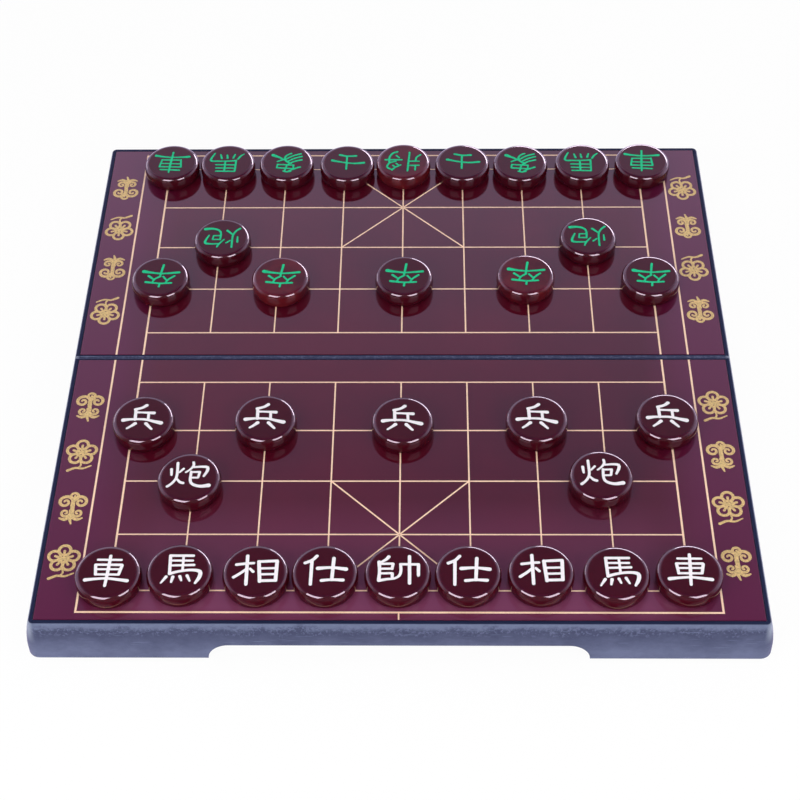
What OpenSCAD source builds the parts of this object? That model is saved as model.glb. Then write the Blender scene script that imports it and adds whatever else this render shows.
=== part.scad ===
// A folding xiangqi box: two moulded half cases that hinge at the middle of the board,
// a printed panel over a steel sheet in each, and 32 magnetic pieces on the crossings.
// The origin is on the table, under the middle of the open board. X runs along the
// ranks, Y from the near player to the far player, and Z up.

/* [Board] */
// Distance between neighbouring files
file_pitch = 31.5; // [26:0.5:38]
// Distance between neighbouring ranks
rank_pitch = 30; // [26:0.5:38]
// Width of the river between the two inner ranks
river_w = 32.5; // [28:0.5:44]
// From an outer file to the side edge of the panel
side_margin = 31; // [20:1:38]
// From an outer rank to the end edge of the panel
end_margin = 15; // [15:0.5:24]
// Thickness of the printed panel
panel_t = 0.8; // [0.5:0.1:1.5]
// Thickness of the steel sheet under the panel
sheet_t = 0.5; // [0.3:0.1:1]
// Gap round the panel in its recess
panel_fit = 0.35; // [0.2:0.05:0.6]

/* [Case] */
// Height of each half, from its rim to the board
case_h = 22; // [18:0.5:30]
// Thickness of the outer walls
wall_t = 2; // [1.6:0.1:3]
// Thickness of the floor under the steel sheet
deck_t = 1.8; // [1.2:0.1:3]
// Width of the lip round the panel at the outer edges
lip_w = 1.8; // [1.5:0.1:3]
// Width of the lip along the seam
seam_lip = 1.2; // [0.8:0.1:2]
// Thickness of the wall along the seam
seam_wall = 2.2; // [1.8:0.1:3]
// Gap between the two halves when the board lies open
seam_gap = 0.4; // [0.2:0.1:1]
// How far the rim stands out beyond the edge of the board
wall_bulge = 3.2; // [2:0.1:4]
// Radius of the upright corners at the rim
corner_r = 5.5; // [5.5:0.5:10]
// Radius of the edge between the lip and the wall
shoulder_r = 1.2; // [0.6:0.1:1.5]
// Width of the finger opening in the rim
notch_w = 166; // [60:1:170]
// Height of the finger opening
notch_h = 9.2; // [6:0.2:12]
// Depth of the pocket behind the finger opening
pocket_depth = 11; // [10:0.5:16]
// Thickness of the wall round the pocket
pocket_wall = 1.6; // [1.2:0.1:2.4]
// Height of the stiffening ribs under the floor
rib_h = 2.5; // [1:0.5:5]
// Thickness of the stiffening ribs
rib_t = 1.4; // [1:0.1:2]

/* [Hinge] */
// From the middle of the board to the middle of each hinge
hinge_x = 112; // [80:1:120]
// Outer radius of the knuckles
knuckle_r = 2.4; // [2:0.1:3]
// Length of one knuckle
knuckle_l = 8; // [5:0.5:10]
// End gap between knuckles, and round gap between a knuckle and its relief
knuckle_gap = 0.35; // [0.25:0.05:0.6]
// Diameter of the hinge pins
pin_d = 2; // [1.5:0.1:2.4]
// Running clearance round the pin, on the radius
pin_fit = 0.05; // [0.02:0.01:0.1]
// Gap between the two rims when the case is shut
shut_gap = 0.3; // [0.2:0.05:0.6]

/* [Feet and tabs] */
// How far the feet lift the rims off the table
foot_h = 2.9; // [2.8:0.1:5]
// Diameter of a foot's pad
foot_d = 8; // [6:0.5:10]
// Diameter of the stem that holds a foot in its post
stem_d = 3; // [2:0.5:4]
// Length of the stem
stem_l = 7; // [4:0.5:10]
// Wall round the stem's hole
post_wall = 2.8; // [2:0.1:4]
// From the outside of the case to the outer row of posts
post_inset = 14; // [10:1:24]
// Sideways step between the posts of the two halves
post_step = 12; // [11:1:16]
// Width of a locating tab
tab_w = 8; // [5:0.5:12]
// Thickness of a locating tab
tab_t = 1.4; // [1:0.1:2]
// How far a tab stands out past the rim
tab_h = 1.8; // [1:0.1:2.4]
// Gap between a tab and the wall that it slides into
tab_fit = 0.3; // [0.2:0.05:0.6]

/* [Pieces] */
// Gap left between two neighbouring pieces
piece_gap = 2.3; // [1.8:0.1:6]
// Thickness of a piece
piece_t = 8.2; // [7:0.1:12]
// Radius of the barrelled side
barrel_r = 12; // [8:0.5:30]
// Radius of the edge round the top
top_edge_r = 1.5; // [0.5:0.1:1.6]
// Radius of the edge round the bottom
base_edge_r = 1.2; // [0.5:0.1:1.6]
// Diameter of the magnet
magnet_d = 10; // [6:0.5:14]
// Thickness of the magnet
magnet_t = 3; // [2:0.5:4]
// Diameter of the cap that closes the base
cap_d = 21; // [14:0.5:21]
// Thickness of the cap
cap_t = 1; // [0.6:0.1:1.6]
// Gap round the magnet and the cap
cap_fit = 0.05; // [0.02:0.01:0.2]

/* [Hidden] */
$fn = 64;
eps = 0.01;
ease = 0.01;
cut = 1;

// Heights above the table
rim_z = foot_h;
board_z = rim_z + case_h;
recess_z = board_z - panel_t - sheet_t;
deck_z = recess_z - deck_t;
axis_z = rim_z - shut_gap / 2;

// The panel, its recess, and the outline of the rim
panel_x = 4 * file_pitch + side_margin;
panel_y = river_w / 2 + 4 * rank_pitch + end_margin;
seam_y = seam_gap / 2;
panel_seam_y = seam_y + seam_lip + panel_fit;
rim_x = panel_x + panel_fit + lip_w + wall_bulge;
rim_y = panel_y + panel_fit + lip_w + wall_bulge;
wall_r = (case_h * case_h + wall_bulge * wall_bulge) / (2 * wall_bulge);
inside_seam_y = seam_y + seam_wall;
pocket_y = rim_y - wall_t - pocket_depth;
pocket_x = notch_w / 2 + 2;

// The hinge: five knuckles on each side of the middle
knuckle_step = knuckle_l + knuckle_gap;
outer_knuckles = [-2, 0, 2];
inner_knuckles = [-1, 1];
pin_l = 5 * knuckle_l + 4 * knuckle_gap - 1;

// The posts stand in two rows, and the second half of the case is the first turned round
post_d = stem_d + 2 * post_wall;
post_out_x = rim_x - post_inset;
post_in_x = post_out_x - post_step;
post_end_y = rim_y - post_inset;
post_seam_y = inside_seam_y + post_inset;
POSTS = [
    [post_out_x, -post_end_y],
    [-post_in_x, -post_end_y],
    [post_in_x, -post_seam_y],
    [-post_out_x, -post_seam_y],
];
tab_side_x = notch_w / 2 + 18;
TABS = [tab_side_x + 2 * tab_w, -tab_side_x];
rib_x = 2.5 * file_pitch;

piece_d = file_pitch - piece_gap;

// Each man's name, its file from the middle, its rank counted from its own end, and how
// far it is set down off its crossing, along X and Y, on the near side and on the far
// side. Files, ranks and offsets are all as the man's own player sees them.
MEN = [
    ["chariot_left", -4, 0, [0, 4], [-1.5, 2.5]],
    ["horse_left", -3, 0, [-0.5, 5], [-1, 3]],
    ["elephant_left", -2, 0, [1, 4.5], [0.5, 3.5]],
    ["advisor_left", -1, 0, [-0.5, 4.5], [0, 3]],
    ["general", 0, 0, [-0.5, 4.5], [0, 2.5]],
    ["advisor_right", 1, 0, [-1.5, 4.5], [-1.5, 3.5]],
    ["elephant_right", 2, 0, [-1.5, 5], [-0.5, 3]],
    ["horse_right", 3, 0, [-0.5, 4], [-0.5, 3]],
    ["chariot_right", 4, 0, [-0.5, 5], [-2, 3]],
    ["cannon_left", -3, 2, [-1, -4], [-0.5, 0]],
    ["cannon_right", 3, 2, [-3.5, -2.5], [-2, 1]],
    ["soldier_1", -4, 3, [6, 0.5], [1.5, -1.5]],
    ["soldier_2", -2, 3, [0, 1], [1, -2.5]],
    ["soldier_3", 0, 3, [1, 0], [-1, -1.5]],
    ["soldier_4", 2, 3, [0.5, 1], [-2, -1]],
    ["soldier_5", 4, 3, [-2, 2], [-4.5, -1]],
];

CASE_NODES = [
    "near_case_shell", "far_case_shell",
    "near_board_panel", "far_board_panel",
    "near_steel_sheet", "far_steel_sheet",
    "right_hinge_pin", "left_hinge_pin",
    "near_rubber_feet", "far_rubber_feet",
];

// Rounds the corner where a circle of radius big about centre meets the level line at
// height level. up is 1 where the line is the top of the shape, and -1 at the bottom.
// The round runs past both by ease, so that it crosses them and leaves no sliver.
module corner_waste(centre, big, level, r, up) {
    height = level - up * (r - ease);
    rise = height - centre.y;
    middle = [centre.x + sqrt(pow(big - r + ease, 2) - rise * rise), height];
    outward = (middle - centre) / norm(middle - centre);
    difference() {
        polygon([
            middle,
            middle + 4 * r * [0, up],
            middle + 4 * r * (outward + [0, up]),
            middle + 4 * r * outward,
        ]);
        translate(middle) circle(r = r);
    }
}

// Section of the outer wall, outward from the centre of an upright corner. inset moves
// its face inwards, and the face stands plumb at the rim.
module wall_section(inset, low, high) {
    intersection() {
        translate([corner_r - wall_r, rim_z]) circle(r = wall_r - inset);
        translate([0, low]) square([corner_r + cut, high - low]);
    }
}

module rounded_wall_section() {
    difference() {
        wall_section(0, rim_z, board_z);
        corner_waste([corner_r - wall_r, rim_z], wall_r, board_z, shoulder_r, 1);
    }
}

// A block with that section round its three outer sides, and cut square at the seam
module half_block(low, high, seam) {
    side_l = rim_y - corner_r - seam;
    core_x = rim_x - corner_r;
    translate([-core_x - eps, -seam - side_l - eps, low])
        cube([2 * core_x + 2 * eps, side_l + eps, high - low]);
    for (side = [0, 1])
        mirror([side, 0, 0])
            translate([core_x, -seam, 0])
                rotate([90, 0, 0])
                    linear_extrude(side_l) children();
    translate([core_x, -seam - side_l, 0])
        rotate([0, 0, -90])
            rotate([90, 0, 0])
                linear_extrude(2 * core_x) children();
    for (side = [0, 1])
        mirror([side, 0, 0])
            translate([core_x, -seam - side_l, 0])
                rotate([0, 0, -90])
                    rotate_extrude(angle = 90) children();
}

module hollow() {
    half_block(rim_z - cut, deck_z, inside_seam_y)
        wall_section(wall_t, rim_z - cut, deck_z);
}

module panel_recess() {
    half_x = panel_x + panel_fit;
    translate([-half_x, -panel_y - panel_fit, recess_z])
        cube([2 * half_x, panel_y + panel_fit - seam_y - seam_lip, board_z - recess_z + cut]);
}

// The finger opening, with round upper corners, cut through the end wall
module finger_notch() {
    translate([0, -rim_y + wall_t + wall_bulge + cut, rim_z])
        rotate([90, 0, 0])
            linear_extrude(wall_t + wall_bulge + 2 * cut) {
                translate([-notch_w / 2, -cut]) square([notch_w, cut]);
                intersection() {
                    union() {
                        translate([-notch_w / 2 + notch_h, 0]) square([notch_w - 2 * notch_h, notch_h]);
                        for (side = [-1, 1])
                            translate([side * (notch_w / 2 - notch_h), 0]) circle(r = notch_h);
                    }
                    translate([-notch_w / 2, 0]) square([notch_w, notch_h]);
                }
            }
}

// The wall round the finger pocket, which keeps the men in when the case is shut
module pocket() {
    outer_x = pocket_x + pocket_wall;
    intersection() {
        half_block(rim_z, deck_z + eps, inside_seam_y)
            wall_section(wall_t / 2, rim_z, deck_z + eps);
        difference() {
            translate([-outer_x, -rim_y, rim_z])
                cube([2 * outer_x, rim_y - pocket_y + pocket_wall, deck_z - rim_z + eps]);
            translate([-pocket_x, -rim_y - cut, rim_z - cut])
                cube([2 * pocket_x, rim_y - pocket_y + cut, deck_z - rim_z + 2 * cut]);
        }
    }
}

module across(x, length, r) {
    translate([x - length / 2, 0, axis_z])
        rotate([0, 90, 0]) cylinder(r = r, h = length);
}

module ribs() {
    for (x = [-rib_x, 0, rib_x])
        translate([x - rib_t / 2, -rim_y + wall_bulge + wall_t, deck_z - rib_h])
            cube([rib_t, rim_y - wall_bulge - wall_t - inside_seam_y + eps, rib_h + eps]);
}

module tabs() {
    outer_y = -rim_y + wall_t;
    for (x = TABS) {
        translate([x - tab_w / 2, outer_y + tab_fit, rim_z - tab_h])
            cube([tab_w, tab_t, tab_h + 2 * tab_w]);
        translate([x - tab_w / 2, outer_y - eps, rim_z + tab_h])
            cube([tab_w, tab_fit + 2 * eps, 2 * tab_w - tab_h]);
    }
}

// One half of the case, as the near one. The far one is the same moulding turned round.
module case_half() {
    difference() {
        union() {
            difference() {
                half_block(rim_z, board_z, seam_y) rounded_wall_section();
                hollow();
                panel_recess();
                finger_notch();
                for (k = inner_knuckles)
                    across(hinge_x + k * knuckle_step, knuckle_l + 2 * knuckle_gap,
                        knuckle_r + knuckle_gap);
                for (k = outer_knuckles)
                    across(-hinge_x + k * knuckle_step, knuckle_l + 2 * knuckle_gap,
                        knuckle_r + knuckle_gap);
            }
            for (k = outer_knuckles)
                across(hinge_x + k * knuckle_step, knuckle_l, knuckle_r);
            for (k = inner_knuckles)
                across(-hinge_x + k * knuckle_step, knuckle_l, knuckle_r);
            for (post = POSTS)
                translate([post.x, post.y, rim_z])
                    cylinder(d = post_d, h = deck_z - rim_z + eps);
            pocket();
            ribs();
            tabs();
        }
        for (post = POSTS)
            translate([post.x, post.y, rim_z - cut])
                cylinder(d = stem_d, h = stem_l + cut);
        across(-hinge_x, 6 * knuckle_step, pin_d / 2 + pin_fit);
        across(hinge_x - knuckle_step, 4 * knuckle_step - knuckle_gap, pin_d / 2 + pin_fit);
        across(hinge_x + 2 * knuckle_step, knuckle_step, pin_d / 2);
    }
}

module board_panel() {
    translate([-panel_x, -panel_y, recess_z + sheet_t])
        cube([2 * panel_x, panel_y - panel_seam_y, panel_t]);
}

module steel_sheet() {
    translate([-panel_x, -panel_y, recess_z])
        cube([2 * panel_x, panel_y - panel_seam_y, sheet_t]);
}

module hinge_pin() {
    across(hinge_x, pin_l, pin_d / 2);
}

module rubber_feet() {
    for (post = POSTS)
        translate([post.x, post.y, 0]) {
            cylinder(d = foot_d, h = foot_h);
            cylinder(d = stem_d, h = foot_h + stem_l);
        }
}

module far() {
    rotate([0, 0, 180]) children();
}

// The moulded disc: a flat top, a barrelled side, and a stepped recess in its base for
// the magnet and the cap that shuts it in
module disc() {
    barrel = [piece_d / 2 - barrel_r, piece_t / 2];
    difference() {
        rotate_extrude()
            difference() {
                intersection() {
                    translate(barrel) circle(r = barrel_r);
                    square([piece_d, piece_t]);
                }
                corner_waste(barrel, barrel_r, piece_t, top_edge_r, 1);
                corner_waste(barrel, barrel_r, 0, base_edge_r, -1);
            }
        translate([0, 0, -cut])
            cylinder(d = cap_d + 2 * cap_fit, h = cap_t + cap_fit + cut);
        cylinder(d = magnet_d + 2 * cap_fit, h = cap_t + magnet_t + 2 * cap_fit);
    }
}

module game_piece() {
    color("maroon") disc();
    color("silver") translate([0, 0, cap_t + cap_fit]) cylinder(d = magnet_d, h = magnet_t);
    color("black") cylinder(d = cap_d, h = cap_t);
}

// A man on its crossing, for the player at the near end
module man(row, offset) {
    crossing = [row[1] * file_pitch, -river_w / 2 - (4 - row[2]) * rank_pitch];
    translate([crossing.x + offset.x, crossing.y + offset.y, board_z]) game_piece();
}

module near_case_shell() {
    color("slategray") case_half();
}
module far_case_shell() {
    color("slategray") far() case_half();
}
module near_board_panel() {
    color("purple") board_panel();
}
module far_board_panel() {
    color("purple") far() board_panel();
}
module near_steel_sheet() {
    color("silver") steel_sheet();
}
module far_steel_sheet() {
    color("silver") far() steel_sheet();
}
module right_hinge_pin() {
    color("silver") hinge_pin();
}
module left_hinge_pin() {
    color("silver") far() hinge_pin();
}
module near_rubber_feet() {
    color("dimgray") rubber_feet();
}
module far_rubber_feet() {
    color("dimgray") far() rubber_feet();
}

near_case_shell();
far_case_shell();
near_board_panel();
far_board_panel();
near_steel_sheet();
far_steel_sheet();
right_hinge_pin();
left_hinge_pin();
near_rubber_feet();
far_rubber_feet();
for (row = MEN) {
    man(row, row[3]);
    far() man(row, row[4]);
}
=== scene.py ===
"""A folding xiangqi board and case, lying open with its men set out for play."""

import math

import bmesh
import bpy
from bpy.props import FloatProperty, FloatVectorProperty, IntProperty, PointerProperty
from mathutils import Matrix, Vector


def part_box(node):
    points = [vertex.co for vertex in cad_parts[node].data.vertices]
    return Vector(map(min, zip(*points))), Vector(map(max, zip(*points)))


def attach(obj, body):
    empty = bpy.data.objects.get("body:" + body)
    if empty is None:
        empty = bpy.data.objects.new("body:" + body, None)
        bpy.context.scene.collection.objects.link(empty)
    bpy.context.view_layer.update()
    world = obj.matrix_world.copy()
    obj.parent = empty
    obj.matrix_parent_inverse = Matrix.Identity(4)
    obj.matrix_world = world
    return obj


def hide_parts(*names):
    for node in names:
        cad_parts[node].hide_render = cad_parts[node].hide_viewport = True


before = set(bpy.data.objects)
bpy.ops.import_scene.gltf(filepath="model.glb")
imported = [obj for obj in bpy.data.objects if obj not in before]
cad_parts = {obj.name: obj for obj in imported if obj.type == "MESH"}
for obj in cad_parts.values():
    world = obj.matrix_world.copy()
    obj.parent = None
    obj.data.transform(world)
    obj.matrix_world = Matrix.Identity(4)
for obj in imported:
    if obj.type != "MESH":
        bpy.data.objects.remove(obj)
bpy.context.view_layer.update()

bl_info = {
    "name": "Folding xiangqi set",
    "version": (1, 0, 0),
    "blender": (4, 5, 0),
    "location": "3D View > Sidebar > Xiangqi",
    "description": "Builds a folding xiangqi board and case with its 32 men",
    "category": "Object",
}

MM = 0.001
SIDES = ("near", "far")
EDGE_LIT = "lit_at_the_edge"

# A ray that meets a lamp counts 2 bounces after one mirror, and 3 after two
BETWEEN_MIRRORS = (2.4, 2.6)

# Files from the middle one to an outer one, and ranks on each half
OUTER_FILE = 4
RANKS = 5

# Each kind of man, with its character on the near side and on the far side
CHARACTERS = {
    "chariot": ("cart", "cart"),
    "horse": ("horse", "horse"),
    "elephant": ("minister", "elephant"),
    "advisor": ("official", "scholar"),
    "general": ("marshal", "commander"),
    "cannon": ("gun", "gun"),
    "soldier": ("trooper", "footman"),
}

# The characters in broad brush strokes, for the near men. A stroke is a row of points on
# its middle line, each with the width of the brush there, all in tenths of a millimetre.
BROAD = {
    "cart": [
        [(5, 84, 15), (2, 10, 16), (-3, -72, 14)], [(-48, 64, 12), (54, 63, 12)],
        [(-55, 37, 15), (-50, -13, 14)], [(-54, 38, 12), (58, 37, 14)], [(60, 34, 15), (50, -13, 14)],
        [(-52, 14, 11), (54, 14, 11)], [(-50, -13, 12), (50, -14, 12)],
        [(-92, -42, 19), (-50, -37, 14), (0, -34, 13), (50, -40, 15), (90, -46, 18)],
    ],
    "horse": [
        [(-44, 76, 15), (-40, -19, 15)], [(-42, 76, 14), (56, 76, 14)], [(13, 74, 12), (15, 2, 12)],
        [(-40, 50, 11), (55, 50, 12)], [(-40, 24, 11), (62, 27, 13)],
        [(-40, -19, 16), (-10, -9, 14), (30, -1, 14), (65, 0, 15), (90, -7, 19), (93, -26, 19),
         (86, -47, 17), (75, -67, 12)], [(-53, -35, 15), (-73, -67, 9)],
        [(-24, -36, 16), (-29, -62, 11)], [(6, -33, 15), (14, -54, 10)], [(37, -29, 15), (50, -56, 10)],
    ],
    "minister": [
        [(-38, 80, 16), (-36, -68, 16)], [(-83, 34, 15), (-40, 40, 14), (-9, 42, 13)],
        [(-40, 10, 14), (-65, -12, 14), (-92, -32, 15)], [(-23, 12, 13), (-9, -3, 14)],
        [(13, 50, 17), (22, -53, 17)], [(14, 50, 14), (92, 54, 15)], [(92, 52, 17), (90, -48, 17)],
        [(18, 14, 12), (90, 16, 12)], [(20, -17, 12), (90, -15, 12)], [(22, -50, 15), (90, -48, 15)],
    ],
    "official": [
        [(-36, 80, 16), (-56, 58, 15), (-86, 43, 16)], [(-57, 54, 16), (-59, -68, 15)],
        [(38, 68, 17), (32, -44, 16)], [(-30, 15, 19), (30, 19, 14), (92, 11, 20)],
        [(-12, -48, 16), (30, -44, 14), (80, -46, 17)],
    ],
    "marshal": [
        [(-39, 76, 17), (-50, 62, 15), (-68, 50, 12)], [(-80, 48, 18), (-78, 0, 15), (-81, -47, 17)],
        [(-78, 39, 12), (-22, 40, 13)], [(-20, 38, 15), (-24, 13, 14)], [(-76, 13, 12), (-24, 14, 12)],
        [(-76, -11, 12), (-26, -10, 12)], [(-23, -12, 15), (-23, -36, 13)],
        [(13, 36, 14), (14, 0, 14), (6, -24, 13), (-14, -37, 12), (-45, -41, 13), (-80, -48, 16)],
        [(12, 37, 13), (90, 36, 14)], [(90, 35, 16), (90, -21, 15)], [(51, 78, 16), (52, -62, 16)],
    ],
    "gun": [
        [(-82, 44, 15), (-79, 11, 11)],
        [(-56, 80, 14), (-54, 10, 13), (-62, -20, 13), (-78, -42, 13), (-92, -54, 15)],
        [(-27, 47, 12), (-44, 27, 10)], [(-52, -12, 11), (-38, -29, 14), (-23, -35, 15)],
        [(15, 84, 13), (17, 66, 13), (4, 44, 11), (-15, 27, 10)],
        [(18, 56, 11), (55, 59, 13), (81, 55, 16), (81, 34, 15), (68, 5, 12)],
        [(14, 28, 11), (48, 29, 12)], [(48, 28, 13), (43, -2, 12)], [(42, -4, 11), (12, -4, 11)],
        [(9, 30, 13), (9, -20, 14), (22, -42, 15), (56, -53, 17), (94, -48, 22)],
    ],
    "trooper": [
        [(10, 80, 18), (-10, 65, 15), (-41, 55, 16)], [(-38, 55, 16), (-36, -6, 16)],
        [(-30, 37, 13), (0, 36, 12), (48, 33, 19)], [(24, 30, 14), (25, -8, 14)],
        [(-91, -10, 22), (-50, -5, 14), (10, -6, 14), (50, -17, 17), (86, -27, 23)],
        [(-33, -31, 19), (-50, -46, 14), (-68, -60, 12)], [(17, -31, 18), (32, -48, 15), (46, -64, 12)],
    ],
}

# The same in thin strokes, for the far men
THIN = {
    "cart": [
        [(10, 82, 9), (6, 20, 12), (-2, -78, 11)], [(-46, 65, 11), (56, 59, 10)],
        [(-52, 38, 11), (-47, -19, 10)], [(-52, 40, 10), (60, 37, 10)], [(63, 38, 10), (53, -18, 10)],
        [(-50, 15, 9), (58, 11, 9)], [(-47, -15, 10), (53, -17, 10)],
        [(-89, -42, 17), (-40, -38, 11), (10, -38, 11), (50, -43, 13), (88, -51, 18)],
    ],
    "horse": [
        [(-42, 74, 11), (-44, -12, 11)], [(-40, 75, 11), (58, 73, 10)], [(14, 72, 11), (13, 0, 11)],
        [(-38, 50, 9), (60, 48, 10)], [(-38, 24, 9), (62, 22, 10)],
        [(-44, -10, 12), (0, -6, 11), (50, -6, 11), (88, -8, 13), (89, -30, 12), (72, -70, 8)],
        [(-54, -24, 12), (-66, -46, 11), (-83, -62, 8)], [(-28, -32, 13), (-36, -60, 9)],
        [(3, -30, 13), (6, -56, 9)], [(34, -29, 13), (42, -58, 9)],
    ],
    "elephant": [
        [(-26, 74, 10), (-6, 80, 11), (14, 74, 10)], [(-12, 76, 10), (-38, 58, 11), (-74, 42, 12)],
        [(-48, 56, 10), (50, 47, 11)], [(-38, 54, 10), (-38, 26, 10)], [(6, 70, 10), (-4, 24, 10)],
        [(50, 46, 10), (46, 20, 10)], [(-40, 27, 10), (46, 21, 10)],
        [(-10, 20, 11), (-40, -2, 11), (-80, -15, 11)], [(-8, -4, 11), (-40, -26, 11), (-80, -42, 12)],
        [(4, -20, 11), (-30, -46, 11), (-74, -63, 12)],
        [(-24, 14, 11), (2, -6, 12), (10, -32, 12), (-4, -56, 11), (-24, -66, 11)],
        [(48, -2, 11), (22, -16, 11)], [(14, -16, 11), (42, -36, 14), (74, -53, 22)],
    ],
    "scholar": [
        [(4, 54, 11), (2, -46, 11)],
        [(-89, 4, 16), (-40, 9, 12), (0, 5, 11), (40, -4, 12), (80, -15, 18)],
        [(-46, -51, 15), (0, -49, 12), (40, -59, 15)],
    ],
    "commander": [
        [(-22, 78, 11), (-28, 0, 11), (-33, -69, 11)], [(-63, 72, 9), (-64, 34, 10)],
        [(-82, 35, 10), (-28, 37, 10)], [(-84, 3, 10), (-30, 2, 10)],
        [(-65, 2, 10), (-70, -28, 10), (-92, -50, 10)], [(60, 72, 11), (44, 52, 10), (14, 32, 10)],
        [(58, 70, 10), (86, 50, 11), (74, 16, 11), (40, 2, 10)], [(43, 48, 10), (56, 36, 9)],
        [(26, 32, 10), (38, 20, 9)], [(8, -9, 11), (96, -10, 12)],
        [(76, 6, 11), (74, -30, 11), (58, -60, 12), (32, -74, 13)], [(23, -26, 11), (37, -42, 11)],
    ],
    "gun": [
        [(-80, 33, 12), (-79, -5, 8)],
        [(-53, 72, 11), (-53, 10, 10), (-56, -20, 11), (-70, -48, 11), (-89, -66, 12)],
        [(-23, 40, 10), (-42, 23, 9)], [(-50, -24, 11), (-24, -50, 14)],
        [(22, 70, 9), (14, 50, 11), (-11, 15, 8)],
        [(12, 46, 9), (55, 47, 11), (83, 42, 15), (82, 20, 12), (68, -15, 9)],
        [(16, 15, 9), (47, 15, 9)], [(48, 14, 9), (44, -12, 9)], [(44, -13, 9), (13, -13, 9)],
        [(9, 16, 10), (8, -30, 11), (22, -54, 13), (55, -64, 15), (90, -61, 19)],
    ],
    "footman": [
        [(0, 72, 12), (-2, 52, 11)], [(-60, 46, 12), (0, 49, 11), (68, 40, 15)],
        [(-32, 42, 10), (-44, 22, 11), (-72, -3, 12)], [(-36, 28, 10), (-16, 2, 11)],
        [(34, 38, 10), (24, 18, 11), (-2, 0, 11)], [(30, 22, 10), (58, -3, 14)],
        [(-93, -28, 15), (-40, -22, 12), (0, -20, 11), (50, -27, 15), (84, -34, 23)],
        [(0, -4, 11), (-11, -80, 13)],
    ],
}


# Meshes

def add_object(name, data):
    thing = bpy.data.objects.new(name, data)
    bpy.context.scene.collection.objects.link(thing)
    return thing


def add_mesh(bm, name, material):
    mesh = bpy.data.meshes.new(name)
    bm.to_mesh(mesh)
    bm.free()
    mesh.materials.append(material)
    return add_object(name, mesh)


def finish_mesh(bm, name, material, body, smooth=40):
    """Makes an object of a bmesh, shades it smooth up to an angle, and lets it ride."""
    bm.normal_update()
    limit = math.radians(smooth)
    for face in bm.faces:
        face.smooth = True
    for edge in bm.edges:
        if len(edge.link_faces) == 2:
            edge.smooth = edge.calc_face_angle(0) < limit
    piece = add_mesh(bm, name, material)
    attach(piece, body)
    return piece


def keep_flat(piece):
    """Shades the large faces flat, and bends the light only round the small ones."""
    weighted = piece.modifiers.new("keep_flat", "WEIGHTED_NORMAL")
    weighted.mode = "FACE_AREA_WITH_ANGLE"
    weighted.keep_sharp = True


def add_block(bm, low, high):
    """A box between two corners. Returns its vertices."""
    low, high = Vector(low), Vector(high)
    place = Matrix.Translation((low + high) / 2) @ Matrix.Diagonal((*(high - low), 1))
    return bmesh.ops.create_cube(bm, size=1, matrix=place)["verts"]


def turn(bm, profile, centre, steps):
    """Spins a profile of (radius, height) points about the upright through centre."""
    points = [bm.verts.new((centre.x + r, centre.y, z)) for r, z in profile]
    edges = [bm.edges.new(pair) for pair in zip(points, points[1:])]
    bmesh.ops.spin(
        bm, geom=points + edges, cent=centre, axis=(0, 0, 1), angle=math.tau,
        steps=steps, use_merge=True, use_duplicate=False,
    )
    bmesh.ops.remove_doubles(bm, verts=bm.verts, dist=1e-6)
    bmesh.ops.recalc_face_normals(bm, faces=bm.faces)


def arc(centre, radius, start, end, steps):
    """Points on a circle of a section, with angles in degrees from straight outward."""
    turns = [math.radians(start + (end - start) * i / steps) for i in range(steps + 1)]
    return [(centre[0] + radius * math.cos(a), centre[1] + radius * math.sin(a)) for a in turns]


def smooth_path(points, step):
    """Points about a step apart on a smooth curve through the given ones."""
    rows = [Vector(p) for p in points]
    least = 2 if len(rows) == 2 else 1
    ends = [2 * rows[0] - rows[1]] + rows + [2 * rows[-1] - rows[-2]]
    path = []
    for a, b, c, d in zip(ends, ends[1:], ends[2:], ends[3:]):
        count = max(least, round((c - b).length / step))
        for i in range(count):
            t = i / count
            path.append(
                (2 * b + (c - a) * t + (2 * a - 5 * b + 4 * c - d) * t * t
                 + (3 * b - a - 3 * c + d) * t ** 3) / 2
            )
    return path + [rows[-1]]


def round_ends(path):
    """Carries a path of (x, y, width) on past both its ends in half rounds."""
    first = (path[0] - path[1]).to_2d().normalized()
    last = (path[-1] - path[-2]).to_2d().normalized()
    start, finish = [], []
    for i in range(1, 5):
        turned = math.radians(20 * i)
        for ends, tip, ahead in ((start, path[0], first), (finish, path[-1], last)):
            reach = tip.to_2d() + ahead * math.sin(turned) * tip.z / 2
            ends.append(Vector((*reach, tip.z * math.cos(turned))))
    return start[::-1] + path + finish


def lay_stroke(bm, points, place, low, high):
    """A flat brush stroke with round ends. Points are (x, y, width) in millimetres, place
    puts them on the object, and the stroke stands between the heights low and high."""
    path = round_ends(smooth_path(points, 0.9))
    last = len(path) - 1
    strip = bmesh.ops.create_grid(bm, x_segments=last, y_segments=1, size=1)["verts"]
    for i, here in enumerate(path):
        ahead = (path[min(i + 1, last)] - path[max(i - 1, 0)]).to_2d().normalized()
        across = Vector((-ahead.y, ahead.x)) * here.z / 2
        strip[i].co = (*(here.to_2d() - across), low)
        strip[i + last + 1].co = (*(here.to_2d() + across), low)
    faces = list({face for vert in strip for face in vert.link_faces})
    raised = bmesh.ops.extrude_face_region(bm, geom=faces, use_keep_orig=True)["geom"]
    top = [part for part in raised if isinstance(part, bmesh.types.BMVert)]
    bmesh.ops.translate(bm, verts=top, vec=(0, 0, high - low))
    bmesh.ops.transform(bm, matrix=place, verts=strip + top)


# Materials

def new_material(name, colour, roughness, **sockets):
    """A principled material. Returns it with its shader and object coordinates."""
    material = bpy.data.materials.new(name)
    material.use_nodes = True
    tree = material.node_tree
    shader = tree.nodes["Principled BSDF"]
    shader.inputs["Base Color"].default_value = (*colour, 1)
    shader.inputs["Roughness"].default_value = roughness
    for socket, value in sockets.items():
        shader.inputs[socket.replace("_", " ")].default_value = value
    where = tree.nodes.new("ShaderNodeTexCoord").outputs["Object"]
    return material, shader, where


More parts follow.
